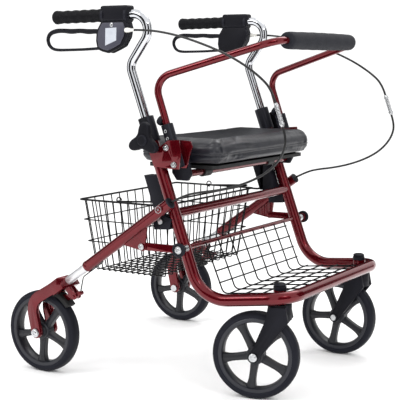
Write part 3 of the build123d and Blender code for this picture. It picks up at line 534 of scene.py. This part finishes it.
# grips: moulded sleeve with finger waves and a domed end
gripPlan = {"length": 142, "radius": 15.0, "waves": 5, "deep": 1.3}
for side, sign in sides:
    low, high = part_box(f"grip_{side}")
    start = Vector((low[0], (low[1] + high[1]) / 2, low[2] + 0.015))
    profile = [(0, 4), (0.6, 9), (2.5, 12.5), (6, 15.2), (10, 15.6), (13, 14.6)]
    steps = 40
    for step in range(steps + 1):
        along = 15 + (gripPlan["length"] - 24) * step / steps
        wave = math.cos(step / steps * gripPlan["waves"] * 2 * math.pi)
        profile.append((along, gripPlan["radius"] - gripPlan["deep"] * (0.5 - 0.5 * wave)))
    profile += [(135, 14.6), (136, 15.8), (140, 15.8), (141.5, 15.2), (142, 11)]
    piece = turned(profile, start, (math.cos(math.radians(1)), 0, math.sin(math.radians(1))), segments=36)
    finishPiece(piece, f"gripSleeve_{side}", nodeBody[f"grip_{side}"], material["gripElastomer"],
                30)
    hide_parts(f"grip_{side}")
print("grips made")

# brake levers: closed finger loop with a wavy upper arm, on a flat root
leverPlan = {"y": 265, "loop": [(164, 787), (140, 790.5), (116, 789), (92, 792), (68, 790), (44, 792.5),
                                (22, 792), (4, 786),
                                (-3, 772), (4, 756), (20, 748.5), (60, 749), (110, 750), (162, 753)],
             "thick": [1.5, 1.45, 1.75, 1.4, 1.75, 1.4, 1.6, 1.35, 1.2, 1.1, 1.0, 0.9, 0.9, 1.0],
             "rod": 0.0035}
casePlan = {"outline": [(160, 812), (226, 812), (231, 796), (227, 776), (214, 756), (196, 748), (178, 741),
                        (160, 745), (148, 750),
                        (144, 768), (146, 790), (152, 800)],
            "cover": [(164, 808), (220, 808), (225, 795), (221, 778), (211, 761), (194, 753), (178, 747),
                      (164, 750), (153, 755),
                      (150, 770), (152, 788), (157, 799)]}
for side, sign in sides:
    loop = bentWires([[at(x, sign * leverPlan["y"], z) for x, z in leverPlan["loop"]]], leverPlan["rod"], 0,
                     sides=4,
                     radii=leverPlan["thick"])
    root = outlinePlate([(150, 797), (188, 795), (199, 783), (188, 771), (172, 748), (150, 747)],
                        sign * 265 - 3.8, sign * 265 + 3.8, 1.2)
    piece = joinPieces([loop, root])
    finishPiece(piece, f"leverLoop_{side}", nodeBody[f"brake_lever_{side}"], material["mouldedNylon"])
    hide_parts(f"brake_lever_{side}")
    caseNode = f"brake_housing_{side}"
    caseBody = nodeBody[caseNode]
    inner = outlinePlate(casePlan["outline"], sign * 252.5, sign * 260.5, 2.5)
    outer = outlinePlate(casePlan["outline"], sign * 269.5, sign * 277.5, 2.5)
    spine = outlinePlate([(206, 811), (226, 811), (231, 796), (227, 776), (214, 758), (206, 756)],
                         sign * 258, sign * 272, 1.0)
    clampLow, clampHigh = at(159, 265 * sign - 16, 811), at(231, 265 * sign + 16, 845)
    clamp = roundedBlock([min(a, b) for a, b in zip(clampLow, clampHigh)],
                         [max(a, b) for a, b in zip(clampLow, clampHigh)], 5, 4)
    bands = [turned([(0, 17.5), (0.8, 18.6), (6.2, 18.6), (7, 17.5)], at(x, sign * 265, 824.5), (1, 0, 0),
                    segments=40)
             for x in (160, 222)]
    piece = joinPieces([inner, outer, spine, clamp, *bands])
    finishPiece(piece, f"leverCase_{side}", caseBody, material["mouldedNylon"])
    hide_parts(caseNode)
    cover = outlinePlate(casePlan["cover"], sign * 277, sign * 279.5, 1.0)
    finishPiece(cover, f"leverCover_{side}", caseBody, material["greyAbs"])
    label = outlinePlate([(173, 796), (203, 797), (202, 769), (172, 758)], sign * 279.4, sign * 279.9, 0.2,
                         1)
    finishPiece(label, f"blankLabel_{side}", caseBody, material["blankLabel"])
    pivot = turned([(0, 4.5), (1.2, 4.5), (1.8, 3.6), (1.8, 2), (0.8, 1.6)], at(190, sign * 279.4, 803),
                   (0, sign, 0), segments=20)
    finishPiece(pivot, f"leverPivot_{side}", caseBody, material["zincSteel"])
    ferrule = turned([(-10, 4.6), (-9, 5.2), (-2, 5.2), (0, 4.4), (2, 4.4), (3, 3.6), (12, 3.2), (13, 2.7)],
                     at(236, sign * 278, 791), (1, 0, 0), segments=24)
    finishPiece(ferrule, f"cableFerrule_{side}", caseBody, material["whiteNylon"])
print("brake levers made")

# height knobs: three swept wings with hollow flanks between them
knobPlan = {"x": 286.1, "z": 554.3, "wings": 3, "first": 85, "core": 19, "reach": 21,
            "near": 288.5, "thick": 15}
for side, sign in sides:
    outline = []
    for step in range(60):
        angle = 2 * math.pi * step / 60
        swell = (0.5 + 0.5 * math.cos(3 * (angle - math.radians(knobPlan["first"])))) ** 1.5
        radius = knobPlan["core"] + knobPlan["reach"] * swell
        outline.append((knobPlan["x"] + radius * math.cos(angle), knobPlan["z"] + radius * math.sin(angle)))
    piece = outlinePlate(outline, sign * knobPlan["near"], sign * (knobPlan["near"] + knobPlan["thick"]),
                         3.0)
    bossFoot = at(knobPlan["x"], sign * (knobPlan["near"] + knobPlan["thick"] - 2), knobPlan["z"])
    boss = turned([(0, 12), (4, 12), (6, 10), (6.5, 6)], bossFoot, (0, sign, 0), segments=32)
    stemFoot = at(knobPlan["x"], sign * (knobPlan["near"] - 10), knobPlan["z"])
    stem = turned([(0, 4), (12, 4)], stemFoot, (0, sign, 0), segments=16)
    piece = joinPieces([piece, boss, stem])
    finishPiece(piece, f"wingKnob_{side}", nodeBody[f"height_knob_{side}"], material["mouldedNylon"],
                30)
    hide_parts(f"height_knob_{side}")
print("height knobs made")

# casters: steel stem with a ribbed black cap, and a stepped neck on the fork
for side, sign in sides:
    place = at(575, sign * 209, 0)
    body = nodeBody[f"caster_stem_{side}"]
    stem = turned([(183, 6), (244, 6)], place, (0, 0, 1), segments=24)
    finishPiece(stem, f"casterStem_{side}", body, material["zincSteel"])
    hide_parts(f"caster_stem_{side}")
    cap = turned([(241.6, 8), (241.6, 13.4), (243.5, 14.4), (249, 14.4), (250.2, 12.8), (251.2, 12.8),
                  (252.2, 13.8),
                  (254.6, 13), (256.6, 10), (257.3, 5)], place, (0, 0, 1), segments=36)
    finishPiece(cap, f"casterCap_{side}", body, material["mouldedNylon"], 30)
    neck = turned([(188, 24.5), (188.5, 26.3), (192, 26.8), (207, 24.5), (208.5, 25.2), (211, 25.2),
                   (212, 23.5), (212, 8)],
                  place, (0, 0, 1), segments=48)
    finishPiece(neck, f"casterNeck_{side}", body, material["mouldedNylon"], 35)
print("caster caps made")


# screws: domed heads with a hex socket, one behind the other along the object's width
def domeScrew(name, place, axis, radius, tall, body, finish="zincSteel"):
    head = turned([(0, radius * 0.98), (tall * 0.35, radius), (tall * 0.7, radius * 0.86),
                   (tall, radius * 0.6),
                   (tall * 1.02, radius * 0.45), (tall * 0.45, radius * 0.42)], place, axis, segments=24)
    washer = turned([(-0.6, radius * 1.25), (0.4, radius * 1.28), (0.8, radius * 1.2), (0.8, radius * 0.7)],
                    place, axis,
                    segments=28)
    return finishPiece(joinPieces([head, washer]), name, body, material[finish], 35)


for side, sign in sides:
    outer = (0, sign, 0)
    domeScrew(f"rearAxleScrew_{side}", at(0, sign * (297 + 34.5), 96), outer, 8, 4, f"leg_{side}")
    yaw = math.radians(14.4 if sign < 0 else 0.5)
    hub = middle(f"caster_wheel_{side}")
    across = Vector((-math.sin(yaw), math.cos(yaw), 0)) * sign
    domeScrew(f"casterScrew_{side}", hub + across * 0.0305, across, 7, 4, f"caster_{side}")
    domeScrew(f"linkScrew_{side}", at(281, sign * 303, 321), outer, 5.5, 3, f"leg_{side}")
    domeScrew(f"legPivotScrew_{side}", at(333.46, sign * 311.5, 407.66), outer, 7.2, 4.4, "frame",
              "powderCoatRed")
    for index, (x, z) in enumerate(((334, 539), (354, 503))):
        domeScrew(f"plateScrew{index}_{side}", at(x, sign * 283.5, z), outer, 5.2, 3.4, "frame")
    domeScrew(f"stopScrew_{side}", at(318, sign * 280.5, 377), outer, 4.6, 2.4, "frame")
    legAxis = Vector((math.cos(math.radians(35.5)), 0, math.sin(math.radians(35.5))))
    plug = turned([(-6, 10.2), (0, 10.2), (0, 12.7), (1.6, 12.7), (3, 11.2), (3.6, 8)],
                  at(353, sign * 297, 421.6), legAxis,
                  segments=36)
    finishPiece(plug, f"legPlug_{side}", f"leg_{side}", material["mouldedNylon"])
    collarStart = at(353 - 277 * legAxis.x, sign * 297, 421.6 - 277 * legAxis.z)
    sleeve = turned([(-1.5, 10.4), (-1.5, 12.2), (-0.4, 12.9), (7, 12.9), (7.6, 12.4), (7.6, 11)],
                    collarStart, legAxis,
                    segments=36)
    finishPiece(sleeve, f"legBush_{side}", f"leg_{side}", material["powderCoatRed"])
    washer = turned([(0, 14.6), (1, 15.2), (7, 15.2), (8, 14.4), (8.2, 10.5), (7.2, 10)],
                    at(377, sign * 295.2, 322), outer,
                    segments=40)
    finishPiece(washer, f"releaseRing_{side}", f"release_{side}", material["mouldedNylon"])
    domeScrew(f"releaseScrew_{side}", at(377, sign * 302.6, 322), outer, 6.5, 3.5, f"release_{side}")
    wire = bentWires([[at(174, sign * 297, 276.6), at(117, sign * 297, 236), at(109, sign * 297, 202)]],
                     0.0014, 0.01, sides=2)
    finishPiece(wire, f"brakeWire_{side}", f"leg_{side}", material["cableJacket"])
print("screws, plugs and bushes made")

# wire basket: rims and bent cross wires, welded at their crossings
basketPlan = {"rearX": 42, "frontX": 277, "half": 210, "top": 400, "floor": 229.5, "inset": 21,
              "rim": 0.0024, "wire": 0.0015,
              "rims": (400, 352, 300), "alongCount": 12, "acrossCount": 11}


def basketInset(z):
    return basketPlan["inset"] * (basketPlan["top"] - z) / (basketPlan["top"] - basketPlan["floor"])


rimRuns = []
for z in basketPlan["rims"]:
    inset = basketInset(z)
    x0, x1, y = basketPlan["rearX"] + inset, basketPlan["frontX"] - inset, basketPlan["half"] - inset
    rimRuns.append([at(x0, -y, z), at(x1, -y, z), at(x1, y, z), at(x0, y, z)])
rims = bentWires(rimRuns[:1], basketPlan["rim"], 0.012, sides=2, closed=True)
bands = bentWires(rimRuns[1:], basketPlan["wire"], 0.010, sides=1, closed=True)
wires = []
floorIn = basketPlan["inset"]
for index in range(basketPlan["alongCount"]):
    share = (index + 0.5) / basketPlan["alongCount"] * 2 - 1
    top, low = share * (basketPlan["half"] - 8), share * (basketPlan["half"] - floorIn - 6)
    wires.append([at(basketPlan["rearX"] - 1, top, basketPlan["top"]),
                  at(basketPlan["rearX"] + floorIn, low, basketPlan["floor"]),
                  at(basketPlan["frontX"] - floorIn, low, basketPlan["floor"]),
                  at(basketPlan["frontX"] + 1, top, basketPlan["top"])])
middleX = (basketPlan["rearX"] + basketPlan["frontX"]) / 2
halfX = (basketPlan["frontX"] - basketPlan["rearX"]) / 2
for index in range(basketPlan["acrossCount"]):
    share = (index + 0.5) / basketPlan["acrossCount"] * 2 - 1
    top, low = middleX + share * (halfX - 6), middleX + share * (halfX - floorIn - 4)
    y = basketPlan["half"]
    wires.append([at(top, -y - 1, basketPlan["top"]), at(low, -y + floorIn, basketPlan["floor"] + 2),
                  at(low, y - floorIn, basketPlan["floor"] + 2), at(top, y + 1, basketPlan["top"])])
mesh = bentWires(wires, basketPlan["wire"], 0.008, sides=1)
hooks = bentWires([[at(262, sign * 208, 399), at(292, sign * 208, 399), at(292, sign * 236, 399)] for side,
                   sign in sides],
                  0.0024, 0.008, sides=2)
basket = joinPieces([rims, bands, mesh, hooks])
finishPiece(basket, "wireBasket", "basket", material["dippedWire"])
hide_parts("basket")
loops = []
for side, sign in sides:
    loops.append([at(150 + 7 * math.cos(step * math.pi / 5), sign * 201.5,
                     404 + 7 * math.sin(step * math.pi / 5))
                  for step in range(9)])
bailLoops = bentWires(loops, 0.0015, 0, sides=2)
finishPiece(bailLoops, "bailLoops", "bail", material["dippedWire"])
print("basket made")

# seat: a block of foam in vinyl, blown up by simulation, with a piped seam round its side;
# its dip and its creases are drawn in afterwards
seatPlan = {"crown": 0.001, "voxel": 0.0045, "pressure": 4.0, "cap": 0.004, "seam": 0.024, "pull": 0.0026,
            "dip": 0.003, "seamSoft": 0.0035, "creaseSoft": 0.0022,
            # height above the underside, depth
            "creases": ((0.010, 0.0022), (0.036, 0.0026), (0.046, 0.0020))}
seatLow, seatHigh = (Vector(corner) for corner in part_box("seat_pad"))
seatCentre = (seatLow + seatHigh) / 2
shrink = Vector((0.006, 0.006, 0.003))
clearSelection()
bpy.ops.mesh.primitive_cube_add(size=1)
seat = bpy.context.object
editAll()
bpy.ops.transform.resize(value=tuple(seatHigh - seatLow - 2 * shrink))
bpy.ops.transform.translate(value=tuple(seatCentre))
bpy.ops.mesh.select_all(action="DESELECT")
bpy.ops.object.mode_set(mode="OBJECT")
for edge in seat.data.edges:
    a, b = (seat.data.vertices[i].co for i in edge.vertices)
    edge.select = abs(a.z - b.z) > 0.01
bpy.ops.object.mode_set(mode="EDIT")
bpy.ops.mesh.select_mode(type="EDGE")
bpy.ops.mesh.bevel(offset=0.022, segments=6, affect="EDGES")
bpy.ops.mesh.select_mode(type="VERT")
bpy.ops.object.mode_set(mode="OBJECT")
applyModifier(seat, "BEVEL", width=0.015, segments=5, limit_method="ANGLE", angle_limit=math.radians(50))
applyModifier(seat, "REMESH", mode="VOXEL", voxel_size=seatPlan["voxel"])
rest = [vertex.co.copy() for vertex in seat.data.vertices]
pins = seat.vertex_groups.new(name="underside")
pins.add([v.index for v in seat.data.vertices if v.co.z < seatLow.z + 0.006], 1.0, "REPLACE")
clearSelection()
seat.select_set(True)
bpy.context.view_layer.objects.active = seat
cloth = seat.modifiers.new("vinyl", "CLOTH")
cloth.settings.vertex_group_mass = "underside"
cloth.settings.use_pressure = True
cloth.settings.uniform_pressure_force = seatPlan["pressure"]
cloth.settings.effector_weights.gravity = 0
cloth.settings.tension_stiffness = 12
cloth.settings.compression_stiffness = 12
for step in range(1, 21):
    bpy.context.scene.frame_set(step)
bpy.ops.object.modifier_apply(modifier="vinyl")
bpy.context.scene.frame_set(1)
for vertex, home in zip(seat.data.vertices, rest):
    moved = vertex.co - home
    if moved.length > seatPlan["cap"]:
        moved = moved.normalized() * seatPlan["cap"]
    place = home + moved
    across = (place.x - seatCentre.x) / (seatHigh.x - seatLow.x) * 2
    along = (place.y - seatCentre.y) / (seatHigh.y - seatLow.y) * 2
    crown = max(0, 1 - across ** 4) * max(0, 1 - along ** 4)
    if place.z > seatCentre.z:   # crowned top, with the shallow dip that sitting leaves
        sitting = math.exp(-(across ** 2 + along ** 2) * 3)
        place.z += seatPlan["crown"] * crown * 0.6 - seatPlan["dip"] * sitting
    # the seam draws the side in
    depth = math.exp(-((place.z - (seatLow.z + seatPlan["seam"])) / seatPlan["seamSoft"]) ** 2)
    outward = Vector((across ** 3, along ** 3, 0))
    if outward.length > 0.3:
        outward.normalize()
        place -= outward * seatPlan["pull"] * depth
        # long creases that run round the sides, rising and dying away
        wave = 0.0022 * math.sin(place.y * 21 + place.x * 27) + 0.0012 * math.sin(place.y * 47 - place.x * 35)
        for level, deep in seatPlan["creases"]:
            fade = 0.55 + 0.45 * math.sin(place.y * 15 + place.x * 19 + level * 160)
            near = (place.z - seatLow.z - level - wave) / seatPlan["creaseSoft"]
            place -= outward * deep * fade * math.exp(-near ** 2)
    vertex.co = place
applyModifier(seat, "SUBSURF", levels=1, render_levels=1)
finishPiece(seat, "seatCushion", "seat", material["seatVinyl"], 180)
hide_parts("seat_pad")


def pipingAt(height, radius, name):
    # welt cord that follows the cushion's own outline at this height
    outline = seat.data.copy()
    ring = bpy.data.objects.new(name, outline)
    bpy.context.scene.collection.objects.link(ring)
    clearSelection()
    ring.select_set(True)
    bpy.context.view_layer.objects.active = ring
    editAll()
    bpy.ops.mesh.bisect(plane_co=(0, 0, height), plane_no=(0, 0, 1), clear_inner=True, clear_outer=True,
                        use_fill=False)
    bpy.ops.object.mode_set(mode="OBJECT")
    bpy.ops.object.convert(target="CURVE")
    ring = bpy.context.object
    ring.data.bevel_depth = radius
    ring.data.bevel_resolution = 2
    bpy.ops.object.convert(target="MESH")
    return finishPiece(bpy.context.object, name, "seat", material["seatVinyl"], 180)


pipingAt(seatLow.z + seatPlan["seam"], 0.0019, "seatPiping")
print("seat made:", len(seat.data.polygons), "faces")

# backrest sleeve: thick foam on the cross bar, fuller in the middle, with turned-in ends
padLow, padHigh = (Vector(corner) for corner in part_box("backrest_pad"))
padLength = (padHigh.y - padLow.y) * 1000
profile = [(0, 8.6), (0, 13), (1.5, 16.2), (5, 18), (12, 18.6)]
steps = 24
for step in range(1, steps):
    share = step / steps
    profile.append((12 + (padLength - 24) * share,
                    18.6 + 0.9 * math.sin(math.pi * share) + 0.25 * math.sin(share * 37)))
profile += [(padLength - 12, 18.6), (padLength - 5, 18), (padLength - 1.5, 16.2), (padLength, 13),
            (padLength, 8.6)]
padMiddle = (padLow + padHigh) / 2
pad = turned(profile, Vector((padMiddle.x, padLow.y, padMiddle.z)), (0, 1, 0), segments=40)
finishPiece(pad, "backrestFoam", "backrest", material["skinnedFoam"], 60)
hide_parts("backrest_pad")
print("backrest foam made")

# cable couplers: a knurled barrel between two ferrules, with the adjuster's thread showing
couplerProfile = [(0.2, 2.8), (0.2, 3.6), (4, 4.6), (4.5, 5.4), (8, 5.4), (8.5, 3.8)]
for ring in range(9):
    couplerProfile += [(9.5 + ring * 3.4, 3.8), (10.2 + ring * 3.4, 4.9), (11.6 + ring * 3.4, 4.9),
                       (12.3 + ring * 3.4, 3.8)]
couplerProfile += [(41, 3.8), (41.5, 5.4), (45, 5.4), (45.5, 4.6), (49.4, 3.6), (49.4, 2.8)]
for side, sign in sides:
    coupler = turned(couplerProfile, at(602.5, sign * 290, 641), (0.3313, 0, -0.9435), segments=24)
    finishPiece(coupler, f"cableCoupler_{side}", "frame", material["zincSteel"], 30)
    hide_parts("cable_couplers")
print("cable couplers made")

# spring catches on the backrest sleeves
for side, sign in sides:
    catch = turned([(0, 5), (6, 5), (7, 8), (10, 10.5), (15, 11), (19, 9), (21, 5)],
                   at(322, sign * 265, 590), (-0.9, 0, 0.43),
                   segments=28)
    finishPiece(catch, f"sleeveCatch_{side}", "frame", material["mouldedNylon"], 60)
    for index in range(3):
        eyelet = turned([(0, 3.6), (1.0, 3.6), (1.4, 3.0), (0.6, 2.2)],
                        at(329.5 + index * 5.2, sign * 277.6, 574 - index * 15.5),
                        (0, sign, 0), segments=20)
        finishPiece(eyelet, f"sleeveEyelet{index}_{side}", "frame", material["zincSteel"])
print("sleeve catches made")

# floor and light
bpy.ops.mesh.primitive_plane_add(size=400)
floor = bpy.context.object
floor.name = "studioFloor"
paper = bpy.data.materials.new("studioPaper")
paper.use_nodes = True
paperShader = paper.node_tree.nodes["Principled BSDF"]
paperShader.inputs["Base Color"].default_value = hexColour("#FFFFFF")
paperShader.inputs["Roughness"].default_value = 0.9
floor.data.materials.append(paper)
world = bpy.context.scene.world or bpy.data.worlds.new("studio")
bpy.context.scene.world = world
world.use_nodes = True
world.node_tree.nodes["Background"].inputs["Color"].default_value = (1, 1, 1, 1)
world.node_tree.nodes["Background"].inputs["Strength"].default_value = 1.12
for place, aim, size, power in (((-1.2, -2.6, 2.6), (0, 0, 0.4), 1.2, 34),
                                ((2.6, -1.4, 2.2), (0, 0, 0.4), 1.0, 26),
                                ((0.2, 1.8, 3.0), (0, 0, 0.4), 1.6, 24)):
    bpy.ops.object.light_add(type="AREA", location=place)
    lamp = bpy.context.object
    lamp.data.size = size
    lamp.data.energy = power
    lamp.rotation_euler = (Vector(aim) - Vector(place)).to_track_quat("-Z", "Y").to_euler()

# black studio flags, seen only in reflections, give the tubes their dark edges; they belong to the studio
flagPlan = {"count": 5, "distance": 2.5, "wide": 1.9, "tall": 2.2, "first": 40}
flagPaint = bpy.data.materials.new("flagCloth")
flagPaint.use_nodes = True
flagPaint.node_tree.nodes["Principled BSDF"].inputs["Base Color"].default_value = hexColour("#050505")
flagPaint.node_tree.nodes["Principled BSDF"].inputs["Roughness"].default_value = 1.0
for index in range(flagPlan["count"]):
    turn = math.radians(flagPlan["first"] + index * 360 / flagPlan["count"])
    bpy.ops.mesh.primitive_plane_add(size=1)
    flag = bpy.context.object
    flag.name = f"studioFlag{index}"
    flag.scale = (flagPlan["wide"], flagPlan["tall"], 1)
    flag.location = (flagPlan["distance"] * math.cos(turn), flagPlan["distance"] * math.sin(turn),
                     flagPlan["tall"] / 2)
    flag.rotation_euler = (math.pi / 2, 0, turn + math.pi / 2)
    flag.data.materials.append(flagPaint)
    flag.visible_camera = False
    flag.visible_diffuse = False
    flag.visible_shadow = False
bpy.context.scene.view_settings.view_transform = "Standard"
print("floor and lights placed")
